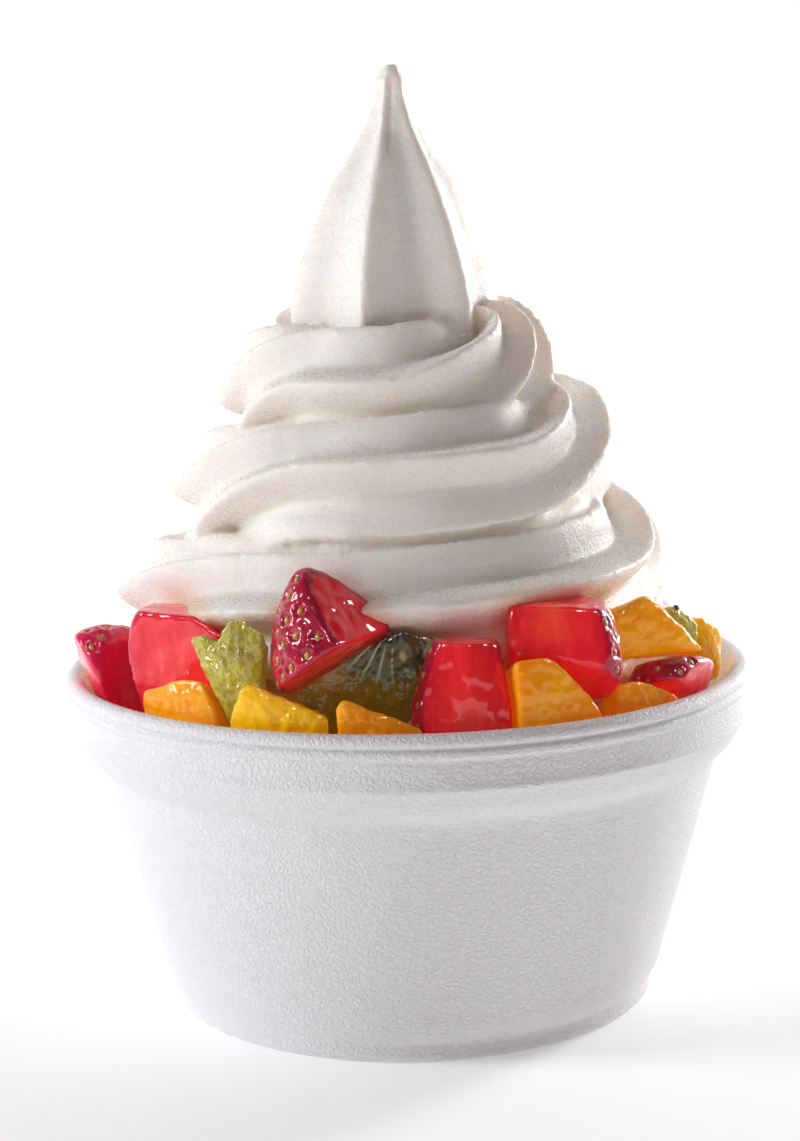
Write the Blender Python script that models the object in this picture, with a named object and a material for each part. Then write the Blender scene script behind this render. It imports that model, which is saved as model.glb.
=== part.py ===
"""A soft-serve frozen yogurt in a squat foam cup, with a ring of cut strawberry, kiwi and mango.

Frame: origin at the middle of the cup's foot, on the table. +Z up, -Y to the front, +X to the right.
Sizes are in millimetres and become metres when a mesh is made.
"""

import math
from dataclasses import dataclass, field

import bmesh
import bpy
import numpy as np
from mathutils import Euler, Matrix, Vector

MM = 0.001
GAP = 0.35  # air left between pieces that touch

# Cup: a moulded foam food container with a foot ring, a straight draft and a rolled band.
CUP_SIDES = 48
FOOT_RADIUS = 41.2
RIM_RADIUS = 57.9
RIM_HEIGHT = 57.2
FLOOR_HEIGHT = 3.4
RECESS_HEIGHT = 0.8
WALL_FOOT_RADIUS = 40.6
WALL_NECK_RADIUS = 50.2
WALL_NECK_HEIGHT = 43.0
RIM_INSIDE_RADIUS = 54.9
RIM_INSIDE_HEIGHT = 56.2
BAND_INSIDE_RADIUS = 54.0
BAND_INSIDE_HEIGHT = 54.0
FLOOR_ROUND = 4.0  # curve between the floor and the wall

# Yogurt: the level in the cup, the piped rope above it and the peak where the rope is pulled away.
FILL_HEIGHT = 50.0
LOBES = 6
ROPE_VALLEY = 0.60  # reach of a groove, as a part of the reach of a ridge
PEAK_VALLEY = 0.77
CRISPNESS = 1.3  # lower makes the ridges sharper
ROPE_START = -450  # degrees of turn: -90 is the front, 0 the right
ROPE_STEP = 90
ROPE_REACH = (36, 37, 38.5, 37.5, 35, 32.5, 30, 28, 27, 25.5, 23, 20, 17.5, 15.5, 13, 10.5)
ROPE_HEIGHT = (54, 59, 64, 68, 71, 75, 80.5, 86.5, 90, 93.5, 98.5, 103, 104, 106.5, 110.5, 115)
ROPE_HALF_WIDTH = (12.4, 10.6)  # first coil, last coil
ROPE_HALF_HEIGHT = (11.6, 12.0)
ROPE_ROLLS = (  # the star rolls as the rope goes round the sides: (turn, degrees of roll)
    (-330, 60), (-158, 76), (2, 104), (212, 89), (334, 79), (562, 86), (655, 45), (703, 122),
)
ROLL_START = -60
ROLL_SPAN = 70
ROPE_SECTIONS_PER_TURN = 40
SEAM_ARC = (-420, 520)  # degrees of turn over which a seam joins each coil to the next
SEAM_RADIUS = 2.8
SEAM_SHIFT = (1.7, 0.7)  # out and up from halfway between the two coils
SEAM_STEP = 10
SEAM_SIDES = 10
PEAK_PROFILE = (  # (height, radius)
    (97, 7), (104, 12.5), (110, 16.6), (114, 17.9), (118, 17.8), (124, 16.3), (130, 14.0),
    (136, 11.2), (141, 8.2), (146, 5.0), (150, 3.4), (154, 2.7), (156.4, 1.2),
)
PEAK_RIDGE = -108  # direction of the front ridge, degrees from +X
PEAK_AXIS = (-0.6, 0.0)
CORE_PROFILE = (  # (height, radius) of the filled middle of the coils
    (49, 34), (60, 38), (72, 34), (84, 28), (94, 23), (104, 16), (112, 9),
)
VOXEL = 1.1
SWIRL_KEPT = 0.025  # share of the remeshed faces that stay
ROPE_SIDES = 24
COLUMN_SIDES = 24

# Fruit: how far out it may lie, and the ring of pieces round the sides and back.
FRUIT_FOOT = 50.8
WALL_CLEAR_RADIUS = 51.9  # reach of the fruit at the yogurt's level
WALL_SLOPE = 20  # the fruit may lean out past the wall by this many degrees
WALL_FACET = 9
BERRY_SIDES = 12
BERRY_RINGS = 7
BERRY_MIDDLE = 0.45  # the middle's place along a berry, from the leaves to the tip
BACK_ARC = (24, 180, 11)  # first and last direction, and how many pieces
BACK_REACH = 45.0
BACK_BLOCK = (14.5, 12.0, 12.6)
BACK_BERRY = (9.2, 18.0)  # radius, length
BACK_BERRY_HEIGHT = 56.3
BACK_SWAY = 2.0


def catmull(values, where):
    """Smooth curve through equally spaced values, read at where, counted in spacings."""
    last = len(values) - 1
    low = min(max(int(math.floor(where)), 0), last - 1)
    t = where - low
    p0, p1, p2, p3 = (values[min(max(low + k, 0), last)] for k in (-1, 0, 1, 2))
    bend = 2 * p0 - 5 * p1 + 4 * p2 - p3
    return 0.5 * (2 * p1 + (p2 - p0) * t + bend * t * t + (3 * p1 - p0 - 3 * p2 + p3) * t**3)


def smooth_step(value):
    t = min(max(value, 0.0), 1.0)
    return t * t * (3 - 2 * t)


def star(angle, valley):
    """Reach of the six-lobed section at an angle from a ridge, in radians: crisp ridge, round groove."""
    return 1 - (1 - valley) * abs(math.sin(angle * LOBES / 2)) ** CRISPNESS


def star_roll(turn):
    return ROLL_START + sum(
        amount * smooth_step((turn - where) / ROLL_SPAN + 0.5) for where, amount in ROPE_ROLLS
    )


def rope_end():
    return ROPE_START + ROPE_STEP * (len(ROPE_REACH) - 1)


def rope_point(turn, angle):
    """Point of the rope's skin at a turn round the cup and an angle round its section, both in degrees."""
    where = (turn - ROPE_START) / ROPE_STEP
    along = (turn - ROPE_START) / (rope_end() - ROPE_START)
    reach = catmull(ROPE_REACH, where)
    height = catmull(ROPE_HEIGHT, where)
    half_width = ROPE_HALF_WIDTH[0] + (ROPE_HALF_WIDTH[1] - ROPE_HALF_WIDTH[0]) * along
    half_height = ROPE_HALF_HEIGHT[0] + (ROPE_HALF_HEIGHT[1] - ROPE_HALF_HEIGHT[0]) * along
    lobe = star(math.radians(angle - star_roll(turn)), ROPE_VALLEY)
    side = math.radians(angle)
    out = reach + half_width * lobe * math.cos(side)
    up = height + half_height * lobe * math.sin(side)
    round_cup = math.radians(turn)
    return Vector((out * math.cos(round_cup), out * math.sin(round_cup), up))


def add_tube(mesh, rings):
    """Closed tube through rings of points, with a flat cap on each end."""
    loops = [[mesh.verts.new(point * MM) for point in ring] for ring in rings]
    for lower, upper in zip(loops, loops[1:]):
        for k in range(len(lower)):
            n = (k + 1) % len(lower)
            mesh.faces.new((lower[k], lower[n], upper[n], upper[k]))
    mesh.faces.new(list(reversed(loops[0])))
    mesh.faces.new(loops[-1])


def add_rope(mesh):
    rings = []
    count = int((rope_end() - ROPE_START) / 360 * ROPE_SECTIONS_PER_TURN)
    for k in range(count + 1):
        turn = ROPE_START + (rope_end() - ROPE_START) * k / count
        roll = star_roll(turn)
        rings.append([rope_point(turn, roll + 360 * j / ROPE_SIDES) for j in range(ROPE_SIDES)])
    add_tube(mesh, rings)


def add_seam(mesh):
    """Fills the slot inside the crease, where the groove of one coil may face that of the next."""
    rings = []
    for turn in range(SEAM_ARC[0], SEAM_ARC[1] + 1, SEAM_STEP):
        ends = [(angle - ROPE_START) / ROPE_STEP for angle in (turn, min(turn + 360, rope_end()))]
        reach = sum(catmull(ROPE_REACH, end) for end in ends) / 2 + SEAM_SHIFT[0]
        height = sum(catmull(ROPE_HEIGHT, end) for end in ends) / 2 + SEAM_SHIFT[1]
        way = direction(turn, 0)
        ring = []
        for j in range(SEAM_SIDES):
            side = 2 * math.pi * j / SEAM_SIDES
            out = reach + SEAM_RADIUS * math.cos(side)
            ring.append(way * out + Vector((0, 0, height + SEAM_RADIUS * math.sin(side))))
        rings.append(ring)
    add_tube(mesh, rings)


def profile_radius(profile, height):
    heights, radii = zip(*profile)
    return float(np.interp(height, heights, radii))


def add_column(mesh, profile, step, lobed):
    """Upright column whose radius follows a profile; lobed gives it the star's ridges."""
    rings = []
    low, high = profile[0][0], profile[-1][0]
    count = max(int((high - low) / step), 2)
    for k in range(count + 1):
        height = low + (high - low) * k / count
        radius = profile_radius(profile, height)
        ring = []
        for j in range(COLUMN_SIDES):
            angle = math.radians(PEAK_RIDGE + 360 * j / COLUMN_SIDES)
            reach = radius
            if lobed:
                reach *= star(2 * math.pi * j / COLUMN_SIDES, PEAK_VALLEY)
            x = PEAK_AXIS[0] + reach * math.cos(angle)
            y = PEAK_AXIS[1] + reach * math.sin(angle)
            ring.append(Vector((x, y, height)))
        rings.append(ring)
    add_tube(mesh, rings)


# Fruit: mango and kiwi are blocks cut by hand, strawberries are berries cut by a few knife planes.
@dataclass
class Block:
    """A hand-cut block seen from the front: a flat foot, two shoulders and one high corner."""

    place: tuple  # middle of the foot
    size: tuple  # width, depth, height
    peak: float = 0.0  # high corner, as a part of the width from the middle
    shoulders: tuple = (0.7, 0.7)  # left and right, as parts of the height
    heading: float = 0.0
    lean: float = 0.0
    back: tuple = (0.0, 0.0, 0.8)  # the back outline's shift to the right and up, and its scale
    nose: float = 1.5  # how far the front face swells
    foot: tuple = (1.0, 1.0)  # left and right, as parts of the half width


@dataclass
class Berry:
    """A strawberry cut by knife planes: azimuth, elevation, distance from the berry's middle."""

    place: tuple
    radius: float
    length: float
    tip: tuple  # azimuth and elevation that the tip points to
    cuts: list = field(default_factory=list)


MANGOES = {
    "mango_01": Block((-33.8, -37.0, 50.8), (16.8, 6, 12.8), 0.16, (0.72, 0.9), -38),
    "mango_02": Block((-19.6, -47.4, 50.8), (17.6, 5.6, 13.8), -0.26, (0.50, 0.66), -12),
    "mango_03": Block((-4.2, -49.8, 50.8), (14.8, 4.2, 11.7), -0.43, (0.93, 0.5), 2),
    "mango_04": Block((8.4, -50.8, 50.8), (11.0, 2.6, 8.4), 0.30, (0.80, 0.95), 6, nose=0.4),
    "mango_05": Block((20.9, -44.6, 50.8), (17.8, 8.6, 16.6), -0.02, (0.97, 0.36), 22),
    "mango_06": Block((37.2, -33.6, 50.8), (20.0, 6.4, 10.9), 0.10, (0.92, 0.62), 38),
    "mango_07": Block((38.8, -27.0, 61.4), (17.8, 8.6, 11.8), -0.10, (0.78, 0.08), 18),
    "mango_08": Block((47.9, -6.0, 53.6), (6.4, 9, 12.2), -0.30, (0.9, 0.72), 40),
}
KIWIS = {
    "kiwi_01": Block(
        (-27.0, -41.0, 56.2), (16.0, 5.0, 17.6), 0.23, (0.70, 0.86), -32, foot=(0.30, 0.75)
    ),
    "kiwi_02": Block((-4.9, -42.4, 52.5), (25.0, 7.2, 20.0), -0.1, (0.82, 0.86), 3, nose=0.6),
    "kiwi_03": Block((44.2, -12.0, 59.4), (7.5, 6, 9.2), -0.2, (0.9, 0.62), 20),
}
STRAWBERRIES = {
    "strawberry_01": Berry(
        (-47.8, -15.5, 58.6), 9.2, 21, (220, 50), [(-42, 8, 4.2), (10, 62, 6.2), (-75, 55, 6.2)]
    ),
    "strawberry_02": Berry(
        (-34.0, -28.8, 62.3), 11.0, 27, (215, -70), [(-116, 6, 6.4), (0, 88, 9.5), (5, 54, 8.2)]
    ),
    "strawberry_03": Berry(
        (-12.2, -44.3, 69.4), 9.6, 23, (185, 72), [(-45, 40, 6.5), (-15, -30, 6.5)]
    ),
    "strawberry_04": Berry(
        (8.8, -44.6, 60.0), 8.9, 30, (-85, 84),
        [(-112, 10, 6.4), (-66, 12, 6.8), (0, 88, 9.4), (90, 0, 3), (0, -90, 5)],
    ),
    "strawberry_05": Berry(
        (24.4, -40.4, 66.1), 9.2, 26, (-25, -50),
        [(-98, 14, 5.2), (-95, -40, 5.5), (0, 88, 7.5), (180, 0, 9.0), (-10, 40, 7.2)],
    ),
    "strawberry_06": Berry((43.6, -28.5, 57.0), 6.8, 18, (30, 5), [(-60, -60, 4)]),
}
KIWI_NOTCH = Block((-29.2, -42.0, 68.4), (9.5, 14, 10.0), -0.1, (0.35, 1.0), -32, foot=(0.02, 0.02))


def finish_mesh(name, mesh, made_of):
    bmesh.ops.recalc_face_normals(mesh, faces=mesh.faces)
    if mesh.calc_volume(signed=True) < 0:
        bmesh.ops.reverse_faces(mesh, faces=mesh.faces)
    data = bpy.data.meshes.new(name)
    mesh.to_mesh(data)
    mesh.free()
    data.materials.append(made_of)
    part = bpy.data.objects.new(name, data)
    bpy.context.scene.collection.objects.link(part)
    return part


def finish_fruit(name, mesh, made_of):
    bmesh.ops.transform(mesh, matrix=Matrix.Scale(MM, 4), verts=mesh.verts)
    return finish_mesh(name, mesh, made_of)


def grown_copy(fruit, helpers):
    """Cutter that presses the fruit's shape, and its air gap, into the yogurt."""
    mesh = bmesh.new()
    mesh.from_mesh(fruit.data)
    moves = [vert.normal * vert.calc_shell_factor() * GAP * MM for vert in mesh.verts]
    for vert, move in zip(mesh.verts, moves):
        vert.co += move
    data = bpy.data.meshes.new(fruit.name + "_pocket")
    mesh.to_mesh(data)
    mesh.free()
    pocket = bpy.data.objects.new(fruit.name + "_pocket", data)
    helpers.objects.link(pocket)
    pocket.hide_render = True
    pocket.display_type = "WIRE"


def block_outline(block):
    """Corners of the front face round the middle of its foot, anticlockwise."""
    width, _, height = block.size
    left, right = block.shoulders
    foot_left, foot_right = block.foot
    return [
        (-foot_left * width / 2, 0), (foot_right * width / 2, 0), (width / 2, right * height),
        (block.peak * width, height), (-width / 2, left * height),
    ]


def block_mesh(block):
    """The block's corners: the front outline, its swollen middle and the smaller outline behind."""
    mesh = bmesh.new()
    outline = block_outline(block)
    depth = block.size[1]
    shift, rise, scale = block.back
    for x, z in outline:
        mesh.verts.new((x, -depth / 2, z))
        mesh.verts.new((x * scale + shift, depth / 2, z and z * scale + rise))
    mesh.verts.new((0, -depth / 2 - block.nose, block.size[2] * 0.45))
    close_round(mesh)
    turn = Euler((0, math.radians(block.lean), math.radians(block.heading))).to_matrix().to_4x4()
    bmesh.ops.transform(mesh, matrix=Matrix.Translation(block.place) @ turn, verts=mesh.verts)
    return mesh


def close_round(mesh):
    """Stretches one skin of flat faces round all the mesh's points."""
    points = [vert.co.copy() for vert in mesh.verts]
    mesh.clear()
    for point in points:
        mesh.verts.new(point)
    hull = bmesh.ops.convex_hull(mesh, input=mesh.verts)
    spare = {item for key in ("geom_interior", "geom_unused") for item in hull[key]}
    inside = [item for item in spare if isinstance(item, bmesh.types.BMVert)]
    bmesh.ops.delete(mesh, geom=inside, context="VERTS")


def direction(azimuth, elevation):
    a, e = math.radians(azimuth), math.radians(elevation)
    return Vector((math.cos(a) * math.cos(e), math.sin(a) * math.cos(e), math.sin(e)))


def berry_radius(t):
    """Share of the full radius at t, from 0 at the leaves to 1 at the tip."""
    return math.sin(math.pi * t**0.62) ** 0.75


def berry_mesh(berry):
    """Whole berry of revolution round its own axis, cut by its knife planes."""
    mesh = bmesh.new()
    for k in range(1, BERRY_RINGS):
        t = k / BERRY_RINGS
        reach = berry.radius * berry_radius(t)
        for j in range(BERRY_SIDES):
            angle = 2 * math.pi * (j + 0.5 * (k % 2)) / BERRY_SIDES
            x, y = reach * math.cos(angle), reach * math.sin(angle)
            mesh.verts.new((x, y, (t - BERRY_MIDDLE) * berry.length))
    mesh.verts.new((0, 0, -BERRY_MIDDLE * berry.length))
    mesh.verts.new((0, 0, (1 - BERRY_MIDDLE) * berry.length))
    close_round(mesh)
    turn = direction(*berry.tip).to_track_quat("Z", "Y").to_matrix().to_4x4()
    bmesh.ops.transform(mesh, matrix=turn, verts=mesh.verts)
    for azimuth, elevation, distance in berry.cuts:
        way = direction(azimuth, elevation)
        cut_plane(mesh, way * distance, way)
    bmesh.ops.transform(mesh, matrix=Matrix.Translation(berry.place), verts=mesh.verts)
    return mesh


def cut_plane(mesh, point, normal):
    """Takes away what lies past the plane and closes the cut."""
    bmesh.ops.bisect_plane(
        mesh, geom=mesh.verts[:] + mesh.edges[:] + mesh.faces[:], dist=1e-4,
        plane_co=point, plane_no=normal, clear_outer=True,
    )
    close_round(mesh)


def corners(mesh):
    return np.array([vert.co for vert in mesh.verts])


def all_ways(count=240):
    """Directions spread evenly over a sphere."""
    k = np.arange(count) + 0.5
    up = 1 - 2 * k / count
    turn = k * math.pi * (1 + math.sqrt(5))
    level = np.sqrt(1 - up**2)
    return np.stack([level * np.cos(turn), level * np.sin(turn), up], axis=1)


def part_neighbours(meshes):
    """Where two pieces would share room, cuts both back to a plane between them, with an air gap."""
    ways = all_ways()
    for k, first in enumerate(meshes):
        for second in meshes[k + 1:]:
            ends = (corners(first) @ ways.T).max(axis=0)
            starts = (corners(second) @ ways.T).min(axis=0)
            best = int(np.argmax(starts - ends))
            if starts[best] - ends[best] >= GAP:
                continue
            middle = (starts[best] + ends[best]) / 2
            way = Vector(ways[best])
            cut_plane(first, way * (middle - GAP / 2), way)
            cut_plane(second, way * (middle + GAP / 2), -way)


def fit_in_cup(mesh):
    """Keeps a piece over the yogurt and clear of the cup's sloping wall."""
    cut_plane(mesh, Vector((0, 0, FILL_HEIGHT + GAP)), Vector((0, 0, -1)))
    middle = corners(mesh).mean(axis=0)
    azimuth = math.degrees(math.atan2(middle[1], middle[0]))
    for turn in (-WALL_FACET, 0, WALL_FACET):
        foot = direction(azimuth + turn, 0) * WALL_CLEAR_RADIUS
        cut_plane(mesh, foot + Vector((0, 0, FILL_HEIGHT)), direction(azimuth + turn, -WALL_SLOPE))


def material(name, colour, roughness):
    made = bpy.data.materials.new(name)
    made.use_nodes = True
    shader = made.node_tree.nodes["Principled BSDF"]
    shader.inputs["Base Color"].default_value = (*colour, 1)
    shader.inputs["Roughness"].default_value = roughness
    made.diffuse_color = (*colour, 1)
    return made


def add_modifier(part, kind, name, **settings):
    modifier = part.modifiers.new(name, kind)
    for key, value in settings.items():
        setattr(modifier, key, value)
    return modifier


def turned(name, profile, made_of):
    """Solid of revolution from a profile that starts and ends on the axis."""
    mesh = bmesh.new()
    points = [mesh.verts.new((radius * MM, 0, height * MM)) for radius, height in profile]
    for a, b in zip(points, points[1:]):
        mesh.edges.new((a, b))
    data = bpy.data.meshes.new(name)
    mesh.to_mesh(data)
    mesh.free()
    data.materials.append(made_of)
    part = bpy.data.objects.new(name, data)
    bpy.context.scene.collection.objects.link(part)
    add_modifier(
        part, "SCREW", "Turn", steps=CUP_SIDES, render_steps=CUP_SIDES,
        use_merge_vertices=True, merge_threshold=1e-5, use_smooth_shade=True,
    )
    return part


def cup_inside():
    """From the middle of the floor up the wall to the rim."""
    return [
        (0, FLOOR_HEIGHT), (WALL_FOOT_RADIUS - FLOOR_ROUND, FLOOR_HEIGHT),
        (WALL_FOOT_RADIUS - FLOOR_ROUND / 4, FLOOR_HEIGHT + FLOOR_ROUND / 4),
        (WALL_FOOT_RADIUS, FLOOR_HEIGHT + FLOOR_ROUND), (WALL_NECK_RADIUS, WALL_NECK_HEIGHT),
        (BAND_INSIDE_RADIUS, BAND_INSIDE_HEIGHT), (RIM_INSIDE_RADIUS, RIM_INSIDE_HEIGHT),
    ]


def cup_outside():
    """Over the rim, down the band with its groove, the draft and the foot ring, and under the floor."""
    rim = [(55.5, 57.0), (56.7, RIM_HEIGHT), (57.6, 56.3), (RIM_RADIUS, 55.0)]
    band = [(57.3, 54.6), (57.6, 53.8), (57.35, 53.0), (57.45, 48.6), (56.4, 46.2), (54.6, 44.0)]
    draft = [(52.8, 42.2), (52.3, 41.0), (43.4, 8.0), (42.7, 5.2), (41.1, 2.8)]
    foot = [(FOOT_RADIUS, 0.5), (40.6, 0), (38.4, 0), (37.6, RECESS_HEIGHT), (0, RECESS_HEIGHT)]
    return rim + band + draft + foot


def make_cup(foam):
    return turned("cup", cup_inside() + cup_outside(), foam)


def make_yogurt(yogurt, helpers):
    """The level in the cup joined to the piped swirl, less the pockets that the fruit presses in."""
    mesh = bmesh.new()
    add_rope(mesh)
    add_seam(mesh)
    add_column(mesh, PEAK_PROFILE, 2.0, True)
    add_column(mesh, CORE_PROFILE, 4.0, False)
    swirl = finish_mesh("yogurt_swirl", mesh, yogurt)
    swirl.hide_render = True
    add_modifier(swirl, "REMESH", "Join", mode="VOXEL", voxel_size=VOXEL * MM)
    add_modifier(swirl, "SMOOTH", "Soften", factor=0.5, iterations=3)
    add_modifier(swirl, "DECIMATE", "Thin", ratio=SWIRL_KEPT)
    level = [
        (0, FILL_HEIGHT), (inside_radius(FILL_HEIGHT) - GAP, FILL_HEIGHT),
        (WALL_NECK_RADIUS - GAP, WALL_NECK_HEIGHT), (WALL_FOOT_RADIUS - GAP, FLOOR_HEIGHT + FLOOR_ROUND),
        (WALL_FOOT_RADIUS - FLOOR_ROUND, FLOOR_HEIGHT + GAP), (0, FLOOR_HEIGHT + GAP),
    ]
    body = turned("yogurt", level, yogurt)
    add_modifier(body, "BOOLEAN", "Swirl", operation="UNION", object=swirl)
    add_modifier(
        body, "BOOLEAN", "Pockets", operation="DIFFERENCE", operand_type="COLLECTION",
        collection=helpers,
    )
    return body


def loose_bodies(mesh):
    """Lists of points that hang together by edges."""
    bodies = []
    seen = set()
    for start in mesh.verts:
        if start in seen:
            continue
        seen.add(start)
        body, waiting = [], [start]
        while waiting:
            vert = waiting.pop()
            body.append(vert)
            fresh = [edge.other_vert(vert) for edge in vert.link_edges]
            fresh = [other for other in fresh if other not in seen]
            seen.update(fresh)
            waiting.extend(fresh)
        bodies.append(body)
    return bodies


def drop_crumbs(part):
    """Applies the modifiers and leaves out the slivers that the pockets cut loose."""
    mesh = bmesh.new()
    mesh.from_object(part, bpy.context.evaluated_depsgraph_get())
    bodies = sorted(loose_bodies(mesh), key=len)
    crumbs = [vert for body in bodies[:-1] for vert in body]
    bmesh.ops.delete(mesh, geom=crumbs, context="VERTS")
    part.modifiers.clear()
    mesh.to_mesh(part.data)
    mesh.free()


def inside_radius(height):
    """Reach of the cup's wall above its neck."""
    share = (height - WALL_NECK_HEIGHT) / (BAND_INSIDE_HEIGHT - WALL_NECK_HEIGHT)
    return WALL_NECK_RADIUS + (BAND_INSIDE_RADIUS - WALL_NECK_RADIUS) * share


def back_fruit():
    """More of the same pieces round the side and back, in a repeating order, each a little different."""
    fruit = {}
    order = ("mango", "kiwi", "mango", "strawberry", "mango", "kiwi")
    first, last, count = BACK_ARC
    radius, length = BACK_BERRY
    width, depth, height = BACK_BLOCK
    for k in range(count):
        azimuth = first + (last - first) * k / (count - 1)
        sway = math.sin(2.4 * k + 1)
        rise = BACK_SWAY * math.sin(1.7 * k)
        x, y, _ = direction(azimuth, 0) * (BACK_REACH + 1.2 * sway)
        kind = order[k % len(order)]
        if kind == "strawberry":
            cuts = [(azimuth + 70 * sway, 20, 3), (azimuth + 180, 10, 4)]
            place = (x, y, BACK_BERRY_HEIGHT + rise)
            made = berry_mesh(Berry(place, radius, length, (azimuth + 40 * sway, 35), cuts))
        else:
            size = (width + BACK_SWAY * sway, depth, height + rise)
            heading = azimuth + 90 + 14 * sway
            made = block_mesh(Block((x, y, FRUIT_FOOT), size, 0.25 * sway, (0.75, 0.8), heading))
        fruit[f"{kind}_back_{k + 1:02d}"] = made
    return fruit


def all_fruit():
    fruit = {name: block_mesh(block) for name, block in {**MANGOES, **KIWIS}.items()}
    fruit.update({name: berry_mesh(berry) for name, berry in STRAWBERRIES.items()})
    fruit.update(back_fruit())
    for mesh in fruit.values():
        fit_in_cup(mesh)
    part_neighbours(list(fruit.values()))
    return fruit


def clear_scene():
    for item in list(bpy.data.objects):
        bpy.data.objects.remove(item, do_unlink=True)


def cut_notch(piece, block, made_of):
    """Opens the V between the two lobes of a crescent of kiwi."""
    wedge = finish_fruit(piece.name + "_notch", block_mesh(block), made_of)
    wedge.hide_render = True
    wedge.display_type = "WIRE"
    add_modifier(piece, "BOOLEAN", "Notch", operation="DIFFERENCE", object=wedge)


def main():
    clear_scene()
    foam = material("white_foam", (0.86, 0.86, 0.87), 0.55)
    yogurt = material("frozen_yogurt", (0.88, 0.85, 0.80), 0.5)
    flesh = {
        "mango": material("mango_flesh", (0.90, 0.45, 0.05), 0.25),
        "kiwi": material("kiwi_flesh", (0.25, 0.32, 0.05), 0.25),
        "strawberry": material("strawberry_flesh", (0.65, 0.04, 0.05), 0.25),
    }
    helpers = bpy.data.collections.new("pockets")
    bpy.context.scene.collection.children.link(helpers)
    helpers.hide_render = True
    make_cup(foam)
    for name, mesh in all_fruit().items():
        fruit = finish_fruit(name, mesh, flesh[name.split("_")[0]])
        grown_copy(fruit, helpers)
    cut_notch(bpy.data.objects["kiwi_01"], KIWI_NOTCH, flesh["kiwi"])
    drop_crumbs(make_yogurt(yogurt, helpers))


main()
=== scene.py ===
"""Looks of a frozen yogurt in a foam cup: the cup, the piped yogurt, the cut fruit and its seeds.

Laid out as a Blender add-on and run as a script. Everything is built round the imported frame.
Shapes are worked out in millimetres and become metres when a mesh is made.
"""

import math

import bmesh
import bpy
import numpy as np
from bpy.props import FloatProperty, FloatVectorProperty, IntProperty, PointerProperty
from mathutils import Matrix, Vector, noise
from mathutils.bvhtree import BVHTree


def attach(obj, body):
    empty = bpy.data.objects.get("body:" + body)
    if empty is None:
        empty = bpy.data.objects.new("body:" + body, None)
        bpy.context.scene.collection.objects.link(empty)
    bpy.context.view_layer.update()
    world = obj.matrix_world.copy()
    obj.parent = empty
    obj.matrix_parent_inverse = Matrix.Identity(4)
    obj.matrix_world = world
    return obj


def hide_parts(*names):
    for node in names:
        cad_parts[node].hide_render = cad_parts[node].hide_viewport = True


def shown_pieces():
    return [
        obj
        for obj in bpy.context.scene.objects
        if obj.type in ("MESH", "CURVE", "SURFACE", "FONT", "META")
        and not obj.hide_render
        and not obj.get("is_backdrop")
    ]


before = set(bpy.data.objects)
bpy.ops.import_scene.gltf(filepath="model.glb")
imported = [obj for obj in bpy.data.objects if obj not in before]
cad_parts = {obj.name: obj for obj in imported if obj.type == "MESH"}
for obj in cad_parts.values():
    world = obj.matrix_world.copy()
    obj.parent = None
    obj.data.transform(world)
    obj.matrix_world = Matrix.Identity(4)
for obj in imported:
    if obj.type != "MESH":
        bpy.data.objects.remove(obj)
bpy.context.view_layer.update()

bl_info = {
    "name": "Frozen Yogurt Cup",
    "version": (1, 0, 0),
    "blender": (4, 5, 0),
    "location": "3D View > Sidebar > Dessert",
    "description": "Builds a foam cup of piped frozen yogurt with cut fruit",
    "category": "Add Mesh",
}

MM = 0.001


# Colours and nodes


def linear(hex_colour):
    """Linear red, green and blue of an sRGB hex colour."""
    channels = [int(hex_colour[k:k + 2], 16) / 255 for k in (0, 2, 4)]
    return tuple(c / 12.92 if c <= 0.04045 else ((c + 0.055) / 1.055) ** 2.4 for c in channels)


def colour_property(name, description, hex_colour):
    return FloatVectorProperty(
        name=name, description=description, subtype="COLOR", size=3, min=0, max=1,
        default=linear(hex_colour),
    )


def size_property(name, description, millimetres):
    return FloatProperty(
        name=name, description=description, subtype="DISTANCE", unit="LENGTH", min=0,
        default=millimetres * MM,
    )


def share_property(name, description, default, most=1.0):
    return FloatProperty(name=name, description=description, min=0, max=most, default=default)


def power_property(name, description, watts):
    return FloatProperty(name=name, description=description, unit="POWER", default=watts)


def add_node(tree, kind, inputs=None, **settings):
    """Adds a node with its settings. An input is a value, or another node's output to link."""
    node = tree.nodes.new(kind)
    for key, value in settings.items():
        setattr(node, key, value)
    for key, value in (inputs or {}).items():
        if isinstance(value, bpy.types.NodeSocket):
            tree.links.new(value, node.inputs[key])
        else:
            node.inputs[key].default_value = value
    return node


def new_material(name):
    """Material with an empty tree that ends in a Principled shader."""
    made = bpy.data.materials.new(name)
    made.use_nodes = True
    tree = made.node_tree
    tree.nodes.clear()
    shader = add_node(tree, "ShaderNodeBsdfPrincipled")
    add_node(tree, "ShaderNodeOutputMaterial", {"Surface": shader.outputs["BSDF"]})
    return made, tree, shader


def set_shader(tree, shader, inputs):
    for key, value in inputs.items():
        if isinstance(value, bpy.types.NodeSocket):
            tree.links.new(value, shader.inputs[key])
        else:
            shader.inputs[key].default_value = value


def per_metre(millimetres):
    """Scale of a texture whose pattern repeats over a real size."""
    return 1 / (millimetres * MM)


def place_of(tree, stretch=(1, 1, 1)):
    """Coordinates fixed to the object, in metres, with an optional stretch."""
    coordinates = add_node(tree, "ShaderNodeTexCoord")
    return add_node(
        tree, "ShaderNodeMapping", {"Vector": coordinates.outputs["Object"], "Scale": stretch}
    ).outputs["Vector"]


def grain(tree, place, millimetres, detail=2.0, rough=0.5):
    """Value of a noise whose lumps have a real size."""
    inputs = {"Vector": place, "Scale": per_metre(millimetres), "Detail": detail, "Roughness": rough}
    return add_node(tree, "ShaderNodeTexNoise", inputs).outputs["Fac"]


def stored(tree, name):
    """Value that the mesh stores at its points under a name."""
    return add_node(tree, "ShaderNodeAttribute", attribute_name=name).outputs["Fac"]


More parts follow.
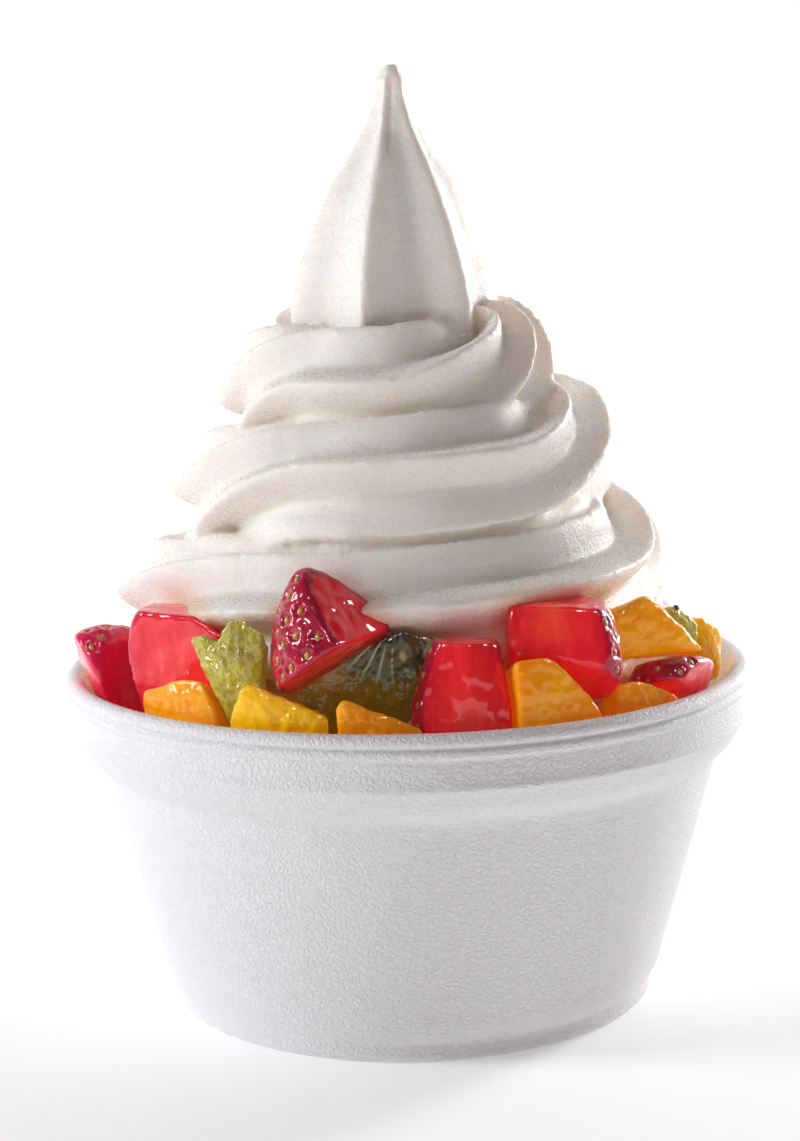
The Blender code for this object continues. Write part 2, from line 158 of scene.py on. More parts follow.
def ramp(tree, factor, stops):
    """Colours or greys blended between stops of (position, colour)."""
    node = add_node(tree, "ShaderNodeValToRGB", {"Fac": factor})
    while len(node.color_ramp.elements) < len(stops):
        node.color_ramp.elements.new(0.5)
    for element, (position, colour) in zip(node.color_ramp.elements, stops):
        element.position = position
        element.color = (*colour, 1)
    return node.outputs["Color"]


def blend_colours(tree, factor, first, second):
    node = add_node(tree, "ShaderNodeMix", data_type="RGBA")
    for socket, value in zip((node.inputs[0], node.inputs[6], node.inputs[7]), (factor, first, second)):
        if isinstance(value, bpy.types.NodeSocket):
            tree.links.new(value, socket)
        else:
            socket.default_value = value if isinstance(value, float) else (*value, 1)
    return node.outputs[2]


def bump(tree, height, millimetres, strength=1.0, below=None):
    """Relief of a real depth, laid over another relief where one is given."""
    inputs = {"Height": height, "Distance": millimetres * MM, "Strength": strength}
    if below is not None:
        inputs["Normal"] = below
    return add_node(tree, "ShaderNodeBump", inputs).outputs["Normal"]


# Meshes


def make_piece(name, mesh, made_of, replaced=()):
    """Turns a bmesh in millimetres into a smooth piece that rides on the cup's body."""
    bmesh.ops.scale(mesh, vec=(MM, MM, MM), verts=mesh.verts)
    data = bpy.data.meshes.new(name)
    mesh.to_mesh(data)
    mesh.free()
    return dress_piece(name, data, made_of, replaced)


def dress_piece(name, data, made_of, replaced=()):
    data.materials.clear()
    data.materials.append(made_of)
    data.shade_smooth()
    piece = bpy.data.objects.new(name, data)
    bpy.context.scene.collection.objects.link(piece)
    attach(piece, "root")
    if replaced:
        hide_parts(*replaced)
    return piece


def store(data, name, values):
    """Writes one value for each point under a name that a material can read."""
    attribute = data.attributes.new(name, "FLOAT", "POINT")
    attribute.data.foreach_set("value", np.asarray(values, np.float32))


def points_of(data):
    flat = np.empty(len(data.vertices) * 3, np.float32)
    data.vertices.foreach_get("co", flat)
    return flat.reshape(-1, 3).astype(float)


def set_points(data, points):
    data.vertices.foreach_set("co", np.asarray(points, np.float32).ravel())
    data.update()


def normals_of(data):
    flat = np.empty(len(data.vertices) * 3, np.float32)
    data.vertices.foreach_get("normal", flat)
    return flat.reshape(-1, 3).astype(float)


def edges_of(data):
    flat = np.empty(len(data.edges) * 2, np.int32)
    data.edges.foreach_get("vertices", flat)
    return flat.reshape(-1, 2)


def neighbour_mean(edges, values):
    """Mean of each point's neighbours along the edges."""
    total = np.zeros_like(values)
    count = np.zeros(len(values))
    for near, far in ((0, 1), (1, 0)):
        np.add.at(total, edges[:, near], values[edges[:, far]])
        np.add.at(count, edges[:, near], 1)
    count = np.maximum(count, 1)
    return total / (count[:, None] if values.ndim == 2 else count)


def lumps(points, millimetres, seed):
    """Smooth noise between -1 and 1 whose lumps have a real size, at points in millimetres."""
    shift = Vector((seed * 17.3, seed * 5.1, seed * 29.7))
    return np.array([noise.noise(Vector(point) / millimetres + shift) for point in points])


def smooth_step(value):
    t = np.clip(value, 0, 1)
    return t * t * (3 - 2 * t)


# Settings


class CupSettings(bpy.types.PropertyGroup):
    sides: IntProperty(name="Sides", description="Faces round the cup", min=48, default=320)
    foam: colour_property("Foam", "White of the moulded foam", "F2F0F2")
    bead: size_property("Bead", "Width of one foam bead", 0.95)
    relief: size_property("Relief", "Depth between the beads", 0.12)


class YogurtSettings(bpy.types.PropertyGroup):
    lobes: IntProperty(name="Lobes", description="Ridges of the star nozzle", min=3, default=6)
    valley: share_property("Valley", "Reach of a groove of the rope as a part of a ridge's", 0.58)
    peak_valley: share_property("Peak valley", "The same for the peak", 0.75)
    crispness: share_property("Crispness", "Sharpness of the ridges: lower is sharper", 1.25, 3.0)
    voxel: size_property("Voxel", "Fineness of the joined surface", 0.56)
    triangles: IntProperty(
        name="Triangles", description="Most that the finished swirl keeps", min=1000, default=190000
    )
    ice: size_property("Ice", "Size of the icy grain", 0.42)
    cream: colour_property("Cream", "Yogurt in the light", "FAF2EC")
    # Painted shade: a darker, warmer cream laid into the creases, standing in for light bounced inside the
    # yogurt.
    crease: colour_property("Crease", "Yogurt deep in a crease", "F6E6BE")
    # Tint beside the fruit: partly juice stain, partly painted orange light bounced from the fruit and
    # painted shade under it.
    stain: colour_property("Stain", "Yogurt where fruit juice has soaked in", "F0B98E")


class FruitSettings(bpy.types.PropertyGroup):
    mango: colour_property("Mango", "Ripe mango flesh", "FFC40C")
    # Deeper orange of the flesh; on mango_04 it also paints the shade on its side.
    mango_deep_and_shade: colour_property("Mango deep", "Mango flesh near the stone", "FF930A")
    kiwi: colour_property("Kiwi", "Outer kiwi flesh", "C8BE42")
    kiwi_deep: colour_property("Kiwi deep", "Inner kiwi flesh among the seeds", "2E3312")
    kiwi_ray: colour_property("Kiwi ray", "Pale rays that leave the core", "B9B884")
    berry_skin: colour_property("Berry skin", "Ripe strawberry skin", "C20F36")
    berry_rim: colour_property("Berry rim", "Cut flesh close under the skin", "E00F2A")
    # Painted sheen: the berries nearest the key light take a pinker red that stands in for its broad
    # reflection and the light glowing through them.
    berry_painted_sheen: colour_property("Berry pink", "Cooler red of the berries at the left", "EA1E58")
    berry_flesh: colour_property("Berry flesh", "Cut flesh further in", "F3262F")
    seed: colour_property("Seed", "Golden strawberry seed", "D79A35")
    kiwi_seed: colour_property("Kiwi seed", "Wet black kiwi seed", "1A0A0C")
    # Painted glow: the flesh gives off a little light of its own colour, standing in for light that scatters
    # out of it.
    painted_glow: share_property("Inner light", "Light that comes out of the wet flesh again", 0.14)
    seed_spacing: size_property("Seed spacing", "Distance between strawberry seeds", 2.7)
    seed_length: size_property("Seed length", "Length of a strawberry seed", 1.35)
    kiwi_seed_length: size_property("Kiwi seed length", "Length of a kiwi seed", 1.5)


class StageSettings(bpy.types.PropertyGroup):
    floor: colour_property("Floor", "Plain white table", "F2F2F3")
    # The weaker glow near the cup paints a grey shade on the floor round the foot.
    glow_near: share_property("Near glow", "Light of the table close to the cup", 0.26)
    glow_far: share_property("Far glow", "Light of the table far from the cup", 0.78)
    key: colour_property("Key colour", "Slightly cool", "F6FAFF")
    air: colour_property("Air", "Warm tint of the dim part of the room", "FFE2D6")
    key_power: power_property("Key", "Power of the soft light at the left", 3.2)
    fill: colour_property("Fill colour", "Slightly warm", "FFF3EE")
    fill_power: power_property("Fill", "Power of the weak light above the camera", 0.1)
    rim_power: power_property("Rim", "Power of the light behind the right side", 4.6)
    glint_power: power_property("Glints", "Power of each light seen only in gloss", 1.1)
    sky_front: share_property("Front", "Brightness of the room behind the camera", 0.11, 5.0)
    sky_side: share_property("Side", "Brightness of the room at the sides and above", 0.03, 5.0)
    sky_back: share_property("Back", "Brightness of the backdrop", 1.08, 5.0)


# Cup


def cup_profile():
    """Half section from the middle of the floor, up the wall, over the rim and down to the foot."""
    inside = [
        (0, 3.4), (36.0, 3.4), (38.6, 3.9), (40.1, 5.2), (40.6, 7.4), (50.2, 43.0), (54.0, 54.0),
        (54.7, 55.6),
    ]
    rim = [(55.1, 56.5), (55.8, 57.05), (56.6, 57.2), (57.3, 56.9), (57.8, 56.3), (57.9, 55.7)]
    groove = [(57.75, 55.25), (57.25, 55.05), (57.2, 54.75), (57.65, 54.55), (57.8, 54.2), (57.8, 53.7)]
    band = [
        (57.6, 53.3), (57.3, 53.1), (57.35, 52.6), (57.35, 49.4), (57.5, 48.9), (57.55, 48.5),
        (57.3, 48.05), (56.9, 47.6), (56.3, 46.3), (55.5, 44.9), (54.2, 43.5),
    ]
    draft = [(53.0, 42.5), (52.45, 41.4), (52.0, 39.6), (43.4, 8.0), (42.7, 5.4)]
    foot = [
        (41.6, 3.6), (41.05, 2.6), (41.2, 1.4), (41.1, 0.6), (40.5, 0.05), (39.6, 0), (38.4, 0),
        (37.9, 0.35), (37.4, 0.8), (0, 0.8),
    ]
    return inside + rim + groove + band + draft + foot


def fine_profile(profile, step):
    """The same section with points no further apart than a step."""
    fine = []
    for (r1, z1), (r2, z2) in zip(profile, profile[1:]):
        count = max(int(math.hypot(r2 - r1, z2 - z1) / step), 1)
        fine += [(r1 + (r2 - r1) * k / count, z1 + (z2 - z1) * k / count) for k in range(count)]
    return fine + [profile[-1]]


def turn_profile(mesh, profile, sides):
    """Skin of revolution through a section that starts and ends on the axis."""
    rings = []
    for radius, height in profile:
        if radius == 0:
            rings.append([mesh.verts.new((0, 0, height))])
            continue
        angles = [2 * math.pi * k / sides for k in range(sides)]
        rings.append([mesh.verts.new((radius * math.cos(a), radius * math.sin(a), height)) for a in angles])
    for inner, outer in zip(rings, rings[1:]):
        for k in range(sides):
            n = (k + 1) % sides
            corners = [
                inner[k % len(inner)], inner[n % len(inner)], outer[n % len(outer)], outer[k % len(outer)],
            ]
            mesh.faces.new(list(dict.fromkeys(corners)))
    bmesh.ops.recalc_face_normals(mesh, faces=mesh.faces)


def foam_material(settings):
    """Expanded polystyrene, steam-moulded: matt white beads pressed into flat cells with fine seams."""
    made, tree, shader = new_material("expanded_polystyrene_moulded")
    place = place_of(tree)
    wobble = add_node(
        tree, "ShaderNodeTexNoise", {"Vector": place, "Scale": per_metre(1.6), "Detail": 1.0}
    )
    moved = add_node(
        tree, "ShaderNodeVectorMath",
        {0: wobble.outputs["Color"], 1: (0.9 * MM,) * 3, 2: place}, operation="MULTIPLY_ADD",
    )
    cells = add_node(
        tree, "ShaderNodeTexVoronoi",
        {"Vector": moved.outputs["Vector"], "Scale": per_metre(settings.bead / MM)},
        feature="DISTANCE_TO_EDGE",
    )
    seams = ramp(tree, cells.outputs["Distance"], [(0.0, (0, 0, 0)), (0.22, (1, 1, 1))])
    fine = grain(tree, place, 0.35)
    soft = bump(tree, grain(tree, place, 5.0), 0.12, 0.5)
    beads = bump(tree, seams, settings.relief / MM, 0.8, soft)
    set_shader(tree, shader, {
        "Base Color": (*settings.foam, 1), "Roughness": 0.5, "Specular IOR Level": 0.4,
        "Subsurface Weight": 0.12, "Subsurface Radius": (1, 1, 1), "Subsurface Scale": 0.0012,
        "Normal": bump(tree, fine, 0.03, 0.3, beads),
    })
    return made


class DESSERT_OT_cup(bpy.types.Operator):
    """Turn the foam cup"""

    bl_idname = "dessert.cup"
    bl_label = "Foam Cup"

    def execute(self, context):
        settings = context.scene.dessert_cup
        mesh = bmesh.new()
        turn_profile(mesh, fine_profile(cup_profile(), 1.1), settings.sides)
        make_piece("foam_cup", mesh, foam_material(settings), ("cup",))
        return {"FINISHED"}


# Yogurt

ROPE_START = -450  # degrees of turn: -90 is the front, 0 the right
ROPE_STEP = 90
ROPE_REACH = (36, 37, 38.5, 37.5, 35, 32.5, 30, 28, 27, 25.5, 23, 20, 17.5, 15.5, 13, 10.5)
ROPE_HEIGHT = (54, 59, 64, 68, 71, 75, 80.5, 86.5, 90, 93.5, 98.5, 103, 104, 106.5, 110.5, 115)
ROPE_END = ROPE_START + ROPE_STEP * (len(ROPE_REACH) - 1)
ROPE_HALF_WIDTH = (12.4, 10.6)  # first coil, last coil
ROPE_HALF_HEIGHT = (11.6, 12.0)
ROPE_ROLLS = (  # the star rolls as the rope goes round the sides: (turn, degrees of roll)
    (-330, 60), (-158, 76), (2, 104), (212, 89), (334, 79), (562, 86), (655, 45), (703, 122),
)
ROLL_START = -60
ROLL_SPAN = 70
PEAK_PROFILE = (  # (height, radius)
    (97, 7), (104, 12.5), (110, 16.6), (114, 17.9), (118, 17.8), (124, 16.3), (130, 14.0),
    (136, 11.2), (141, 8.2), (146, 5.0), (150, 3.4), (154, 2.7), (156.4, 1.2),
)
PEAK_RIDGE = -108
PEAK_AXIS = (-0.6, 0.0)
RIM_CLEARANCE = 45.5
CORE_PROFILE = ((49, 34), (60, 38), (72, 34), (84, 28), (94, 23), (104, 16), (112, 9))
SEAM_ARC = (-420, 520)  # degrees of turn
SEAM_RADIUS = 2.8
SEAM_SHIFT = (1.7, 0.7)  # out and up from halfway


def catmull(values, where):
    """Smooth curve through equally spaced values, read at where, counted in spacings."""
    last = len(values) - 1
    low = min(max(int(math.floor(where)), 0), last - 1)
    t = where - low
    p0, p1, p2, p3 = (values[min(max(low + k, 0), last)] for k in (-1, 0, 1, 2))
    bend = 2 * p0 - 5 * p1 + 4 * p2 - p3
    return 0.5 * (2 * p1 + (p2 - p0) * t + bend * t * t + (3 * p1 - p0 - 3 * p2 + p3) * t**3)


def star(settings, angle, valley):
    """Reach of the star at an angle from a ridge, in radians: crisp ridge, round groove."""
    depth = abs(math.sin(angle * settings.lobes / 2)) ** settings.crispness
    return 1 - (1 - valley) * depth


def star_roll(turn):
    rolls = [amount * smooth_step((turn - where) / ROLL_SPAN + 0.5) for where, amount in ROPE_ROLLS]
    return ROLL_START + sum(rolls)


def rope_point(settings, turn, angle):
    """Point of the rope's skin at a turn round the cup and an angle round its section, in degrees."""
    where = (turn - ROPE_START) / ROPE_STEP
    along = (turn - ROPE_START) / (ROPE_END - ROPE_START)
    half_width = ROPE_HALF_WIDTH[0] + (ROPE_HALF_WIDTH[1] - ROPE_HALF_WIDTH[0]) * along
    half_height = ROPE_HALF_HEIGHT[0] + (ROPE_HALF_HEIGHT[1] - ROPE_HALF_HEIGHT[0]) * along
    lobe = star(settings, math.radians(angle - star_roll(turn)), settings.valley)
    side = math.radians(angle)
    out = catmull(ROPE_REACH, where) + half_width * lobe * math.cos(side)
    up = catmull(ROPE_HEIGHT, where) + half_height * lobe * math.sin(side)
    round_cup = math.radians(turn)
    return Vector((out * math.cos(round_cup), out * math.sin(round_cup), up))


def add_tube(mesh, rings):
    """Closed tube through rings of points, with a flat cap on each end."""
    loops = [[mesh.verts.new(point) for point in ring] for ring in rings]
    for lower, upper in zip(loops, loops[1:]):
        for k in range(len(lower)):
            n = (k + 1) % len(lower)
            mesh.faces.new((lower[k], lower[n], upper[n], upper[k]))
    mesh.faces.new(list(reversed(loops[0])))
    mesh.faces.new(loops[-1])


def add_rope(mesh, settings, sides=60, sections_per_turn=120):
    length = ROPE_END - ROPE_START
    count = int(length / 360 * sections_per_turn)
    rings = []
    for k in range(count + 1):
        turn = ROPE_START + length * k / count
        roll = star_roll(turn)
        rings.append([rope_point(settings, turn, roll + 360 * j / sides) for j in range(sides)])
    add_tube(mesh, rings)


def add_seam(mesh, sides=16):
    """Closes the slot inside the crease, halfway between one coil and the next."""
    rings = []
    for turn in range(SEAM_ARC[0], SEAM_ARC[1] + 1, 5):
        where = [(angle - ROPE_START) / ROPE_STEP for angle in (turn, min(turn + 360, ROPE_END))]
        height = sum(catmull(ROPE_HEIGHT, spot) for spot in where) / 2 + SEAM_SHIFT[1]
        reach = sum(catmull(ROPE_REACH, spot) for spot in where) / 2 + SEAM_SHIFT[0]
        way = math.radians(turn)
        ring = []
        for j in range(sides):
            side = 2 * math.pi * j / sides
            out = reach + SEAM_RADIUS * math.cos(side)
            up = height + SEAM_RADIUS * math.sin(side)
            ring.append(Vector((out * math.cos(way), out * math.sin(way), up)))
        rings.append(ring)
    add_tube(mesh, rings)


def add_column(mesh, profile, step, sides, reach_at):
    """Upright column whose radius follows a profile, times a reach that depends on the direction."""
    heights, radii = zip(*profile)
    rings = []
    for height in np.arange(heights[0], heights[-1], step).tolist() + [heights[-1]]:
        radius = float(np.interp(height, heights, radii))
        ring = []
        for j in range(sides):
            angle = 2 * math.pi * j / sides
            reach = radius * reach_at(angle)
            way = math.radians(PEAK_RIDGE) + angle
            ring.append(Vector((
                PEAK_AXIS[0] + reach * math.cos(way), PEAK_AXIS[1] + reach * math.sin(way), height,
            )))
        rings.append(ring)
    add_tube(mesh, rings)


def yogurt_body(settings):
    """The piped rope, the peak, the middle and the level in the cup, joined into one closed skin."""
    mesh = bmesh.new()
    add_rope(mesh, settings)
    add_seam(mesh)
    add_column(mesh, PEAK_PROFILE, 1.0, 60, lambda angle: star(settings, angle, settings.peak_valley))
    add_column(mesh, CORE_PROFILE, 3.0, 48, lambda angle: 1.0)
    level = [(0, 44.0), (49.9, 44.0), (52.3, 50.0), (0, 50.0)]
    turn_profile(mesh, level, 96)
    bmesh.ops.recalc_face_normals(mesh, faces=mesh.faces)
    data = bpy.data.meshes.new("piped_yogurt")
    bmesh.ops.scale(mesh, vec=(MM, MM, MM), verts=mesh.verts)
    mesh.to_mesh(data)
    mesh.free()
    return data


def applied(data, modifiers):
    """Mesh with modifiers applied, each given as (kind, settings)."""
    carrier = bpy.data.objects.new("carrier", data)
    bpy.context.scene.collection.objects.link(carrier)
    for kind, settings in modifiers:
        modifier = carrier.modifiers.new(kind.title(), kind)
        for key, value in settings.items():
            setattr(modifier, key, value)
    graph = bpy.context.evaluated_depsgraph_get()
    made = bpy.data.meshes.new_from_object(carrier.evaluated_get(graph))
    bpy.data.objects.remove(carrier, do_unlink=True)
    return made


def concavity(data, rounds=14):
    """How deep each point sits in a crease, in millimetres: above zero inside creases."""
    points = points_of(data) / MM
    edges = edges_of(data)
    mean = points
    for _ in range(rounds):
        mean = neighbour_mean(edges, mean)
    return ((mean - points) * normals_of(data)).sum(axis=1)


def roughen_yogurt(data):
    """Drag marks along the rope and a little unevenness, as piped ice leaves them."""
    points = points_of(data) / MM
    normals = normals_of(data)
    azimuth = np.arctan2(points[:, 1], points[:, 0])
    along = np.stack([np.cos(azimuth) * 9, np.sin(azimuth) * 9, points[:, 2]], axis=1)
    drag = lumps(along * [0.35, 0.35, 1.0], 1.5, 1)
    swell = lumps(points, 7.0, 2)
    grit = lumps(points, 1.1, 3)
    height = 0.10 * drag + 0.22 * swell + 0.07 * grit
    fold = points[:, 0] - PEAK_AXIS[0] + 0.4 - 0.06 * (points[:, 2] - 150)
    at_tip = smooth_step((points[:, 2] - 141) / 4) * smooth_step((155 - points[:, 2]) / 2)
    height -= 0.8 * np.exp(-((fold / 0.5) ** 2)) * at_tip * (points[:, 1] < 0)
    set_points(data, (points + normals * height[:, None]) * MM)


def clear_the_rim(data):
    """Keeps the yogurt behind the fruit where the pieces stand in the mouth of the cup."""
    points = points_of(data) / MM
    reach = np.hypot(points[:, 0], points[:, 1])
    above = smooth_step((points[:, 2] - 59) / 5)
    below = smooth_step((50 - points[:, 2]) / 2)
    most = RIM_CLEARANCE + 12 * above + 8 * below
    points[:, :2] *= np.minimum(1, most / np.maximum(reach, 1))[:, None]
    set_points(data, points * MM)


def part_from_fruit(data, fruit_trees, reach=0.7, sink=0.9, tint_reach=3.5):
    """Lets the yogurt dip under each fruit that it touches; returns how near each point lies to fruit, for a
    tint of juice stain and painted bounce light from the fruit.
    """
    points = points_of(data)
    moved = points.copy()
    stain = np.zeros(len(points))
    for tree, low, high in fruit_trees:
        near = np.all((points > low - tint_reach * MM) & (points < high + tint_reach * MM), axis=1)
        for index in np.flatnonzero(near):
            spot, normal, _, away = tree.find_nearest(Vector(points[index]))
            stain[index] = max(stain[index], 1 - away / (tint_reach * MM))
            out = (Vector(points[index]) - spot).dot(normal)
            if -sink * MM < out < reach * MM:
                share = smooth_step((reach * MM - out) / (reach * MM))
                moved[index] = points[index] - np.array(normal) * (out + sink * MM) * float(share)
    set_points(data, moved)
    return stain


def yogurt_material(settings):
    """Soft-serve frozen yogurt, piped cold: matt milk ice that light enters, with fine wet crystals."""
    made, tree, shader = new_material("frozen_yogurt_soft_serve")
    place = place_of(tree)
    # Painted shade: the creases take the darker, warmer crease colour by how deep they sit.
    crease = ramp(tree, stored(tree, "crease"), [(0.15, (0, 0, 0)), (0.95, (1, 1, 1))])
    clean = blend_colours(tree, crease, settings.cream, settings.crease)
    # Juice stain and painted bounce light from the fruit, laid on by nearness to it.
    tint = ramp(tree, stored(tree, "stain"), [(0.1, (0, 0, 0)), (0.9, (0.7,) * 3)])
    colour = blend_colours(tree, tint, clean, settings.stain)
    ice = grain(tree, place, settings.ice / MM, 3.0, 0.65)
    coarse = bump(tree, grain(tree, place, 1.5), 0.15, 0.6)
    frost = ramp(tree, grain(tree, place, 0.5), [(0.35, (0.15,) * 3), (0.65, (0.45,) * 3)])
    set_shader(tree, shader, {
        "Base Color": colour, "Roughness": frost, "Specular IOR Level": 0.5,
        "Subsurface Weight": 0.6, "Subsurface Radius": (1.0, 0.6, 0.42), "Subsurface Scale": 0.002,
        "Normal": bump(tree, ice, 0.17, 0.9, coarse),
    })
    return made


class DESSERT_OT_yogurt(bpy.types.Operator):
    """Pipe the frozen yogurt"""

    bl_idname = "dessert.yogurt"
    bl_label = "Frozen Yogurt"

    def execute(self, context):
        settings = context.scene.dessert_yogurt
        data = applied(yogurt_body(settings), [
            ("REMESH", {"mode": "VOXEL", "voxel_size": settings.voxel}),
            ("SMOOTH", {"factor": 0.5, "iterations": 4}),
        ])
        crease = concavity(data)
        roughen_yogurt(data)
        clear_the_rim(data)
        store(data, "stain", part_from_fruit(data, fruit_trees()))
        # The crease depth is the mask of the painted crease shade.
        store(data, "crease", np.clip(crease / 1.2, 0, 1))
        kept = min(1.0, settings.triangles / (2 * len(data.polygons)))
        thinned = applied(data, [("DECIMATE", {"ratio": kept})])
        dress_piece("yogurt_swirl", thinned, yogurt_material(settings), ("yogurt",))
        return {"FINISHED"}


# Fruit


def fruit_nodes(kind):
    return sorted(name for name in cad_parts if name.split("_")[0] == kind)


def fruit_trees():
    """Search tree and box of each fruit piece, for what lies against them."""
    trees = []
    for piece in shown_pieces():
        if piece.name.split("_")[0] not in ("mango", "kiwi", "strawberry") or "seeds" in piece.name:
            continue
        points = points_of(piece.data)
        faces = [tuple(face.vertices) for face in piece.data.polygons]
        trees.append((BVHTree.FromPolygons(points.tolist(), faces), points.min(axis=0), points.max(axis=0)))
    return trees


def compass(azimuth, elevation):
    """Unit direction from degrees: azimuth 0 is the right, -90 the front."""
    a, e = math.radians(azimuth), math.radians(elevation)
    return math.cos(a) * math.cos(e), math.sin(a) * math.cos(e), math.sin(e)


def flat_faces(data):
    """The node's flat faces: unit normals, offsets and areas, in millimetres."""
    points = points_of(data) / MM
    data.calc_loop_triangles()
    triangles = np.array([tuple(t.vertices) for t in data.loop_triangles])
    a, b, c = (points[triangles[:, k]] for k in range(3))
    cross = np.cross(b - a, c - a)
    area = np.linalg.norm(cross, axis=1) / 2
    kept = area > 1e-3
    normal = cross[kept] / (2 * area[kept, None])
    offset = (normal * a[kept]).sum(axis=1)
    area = area[kept]
    faces = []
    left = np.ones(len(area), bool)
    for k in np.argsort(-area):
        if not left[k]:
            continue
        same = left & (normal @ normal[k] > 0.9995) & (abs(offset - offset[k]) < 0.12)
        left &= ~same
        faces.append((normal[k], offset[k], area[same].sum()))
    return points, faces


def soft_max(values, softness):
    """Greatest value of each row, with the corners rounded off."""
    top = values.max(axis=1, keepdims=True)
    return top[:, 0] + softness * np.log(np.exp((values - top) / softness).sum(axis=1))


class FruitForm:
    """A node's solid as a smooth field in millimetres: below zero inside, rounded at its edges."""

    def __init__(self, data, edge, skin_edge=0.0, skin_area=0.0, skin_ways=()):
        self.corners, faces = flat_faces(data)
        self.middle = self.corners.mean(axis=0)
        hollow = [f for f in faces if (self.corners @ f[0] - f[1]).max() > 0.6]
        outer = [f for f in faces if (self.corners @ f[0] - f[1]).max() <= 0.6]
        ways = [np.array(compass(*way)) for way in skin_ways]
        uncut = [f[2] < skin_area or any(f[0] @ way > 0.97 for way in ways) for f in outer]
        self.skin = [f for f, kept in zip(outer, uncut) if kept]
        self.cuts = [f for f, kept in zip(outer, uncut) if not kept]
        self.hollow = hollow
        self.edge = edge
        self.skin_edge = skin_edge
        self.skin_shift = 0.0
        if self.skin:
            self.skin_shift = float(np.median(self.skin_depth(self.skin_corners())))

    def skin_corners(self):
        normals = np.array([f[0] for f in self.skin])
        offsets = np.array([f[1] for f in self.skin])
        on_skin = (self.corners @ normals.T - offsets > -0.05).sum(axis=1) >= 3
        return self.corners[on_skin] if on_skin.any() else self.corners

    @staticmethod
    def outside(points, faces):
        normals = np.array([f[0] for f in faces])
        offsets = np.array([f[1] for f in faces])
        return points @ normals.T - offsets

    def skin_depth(self, points):
        """Distance outside the skin's smooth surface; below zero is inside."""
        return soft_max(self.outside(points, self.skin), self.skin_edge) - self.skin_shift

    def cut_depth(self, points):
        depth = soft_max(self.outside(points, self.cuts), self.edge)
        if self.hollow:
            notch = -soft_max(-self.outside(points, self.hollow), self.edge)
            depth = soft_max(np.stack([depth, notch], axis=1), self.edge)
        return depth

    def depth(self, points):
        if not self.skin:
            return self.cut_depth(points)
        if not self.cuts:
            return self.skin_depth(points)
        return soft_max(np.stack([self.skin_depth(points), self.cut_depth(points)], axis=1), self.edge)

    def near_edge(self, points, width):
        """1 on an edge between two flat faces, falling to 0 over a width."""
        depths = np.sort(self.outside(points, self.skin + self.cuts), axis=1)
        return np.exp(-(((depths[:, -1] - depths[:, -2]) / width) ** 2))

    def wrap(self, ways, steps=22):
        """Points where rays from the middle leave the solid."""
        low = np.zeros(len(ways))
        high = np.full(len(ways), 40.0)
        for _ in range(steps):
            half = (low + high) / 2
            inside = self.depth(self.middle + ways * half[:, None]) < 0
            low = np.where(inside, half, low)
            high = np.where(inside, high, half)
        return self.middle + ways * low[:, None]


def ball(fineness):
    """Evenly divided ball: its mesh and its points as unit directions."""
    mesh = bmesh.new()
    bmesh.ops.create_icosphere(mesh, subdivisions=fineness, radius=1)
    data = bpy.data.meshes.new("fruit")
    mesh.to_mesh(data)
    mesh.free()
    ways = points_of(data)
    return data, ways / np.linalg.norm(ways, axis=1, keepdims=True)


def soften(data, rounds):
    """Evens out the small steps where the mesh crosses an edge."""
    points = points_of(data)
    edges = edges_of(data)
    for _ in range(rounds):
        points += 0.5 * (neighbour_mean(edges, points) - points)
    set_points(data, points)


def raise_points(data, height):
    """Moves each point out along its normal by a height in millimetres."""
    set_points(data, points_of(data) + normals_of(data) * np.asarray(height)[:, None] * MM)


def wrapped_fruit(name, form, fineness):
    data, ways = ball(fineness)
    data.name = name
    set_points(data, form.wrap(ways) * MM)
    soften(data, 2)
    return data


def tone_of(name):
    """A steady value between 0 and 1 for each piece, so that no two look the same."""
    return (sum(ord(letter) * (k + 3) for k, letter in enumerate(name)) * 0.137) % 1


MANGO_TONES_AND_SHADE = {  # 0 is pale yellow, 1 deep orange; the deep tone of mango_04 partly paints the shade on its side
    "mango_01": 0.45,
    "mango_02": 0.0,
    "mango_03": 0.45,
    "mango_04": 0.75,
    "mango_05": 0.45,
    "mango_06": 0.6,
    "mango_07": 0.15,
    "mango_08": 0.1,
}


def mango_material(settings):
    """Ripe mango, knife cut: dense orange flesh that light enters, short fibres, wet with juice."""
    made, tree, shader = new_material("mango_flesh_cut")
    place = place_of(tree)
    tone = stored(tree, "tone")
    patches = grain(tree, place, 6.0, 2.0)
    shade = add_node(tree, "ShaderNodeMath", {0: patches, 1: 0.8, 2: tone}, operation="MULTIPLY_ADD")
    # The deep colour, by tone, also gives mango_04 its painted shade.
    mixed = ramp(tree, shade.outputs[0], [(0.3, settings.mango), (1.0, settings.mango_deep_and_shade)])
    fibres = grain(tree, place_of(tree, (1, 1, 0.3)), 0.45, 3.0, 0.6)
    pale = ramp(tree, fibres, [(0.52, (0, 0, 0)), (0.8, (0.3,) * 3)])
    colour = blend_colours(tree, pale, mixed, linear("FFC820"))
    film = grain(tree, place, 2.2, 0.5)
    juice = bump(tree, grain(tree, place, 2.2, 2.0), 0.8, 0.8)
    set_shader(tree, shader, {
        "Base Color": colour, "Roughness": 0.4, "IOR": 1.38, "Specular IOR Level": 0.15,
        "Subsurface Weight": 0.6, "Subsurface Radius": (1.0, 0.4, 0.05), "Subsurface Scale": 0.004,
        "Coat Weight": 0.9, "Coat Roughness": 0.05, "Coat IOR": 1.4,
        # Painted glow: the flesh shines a little light of its own colour.
        "Emission Color": colour, "Emission Strength": settings.painted_glow,
        "Normal": bump(tree, fibres, 0.06, 0.6, juice),
        "Coat Normal": bump(tree, film, 0.6, 1.0),
    })
    return made


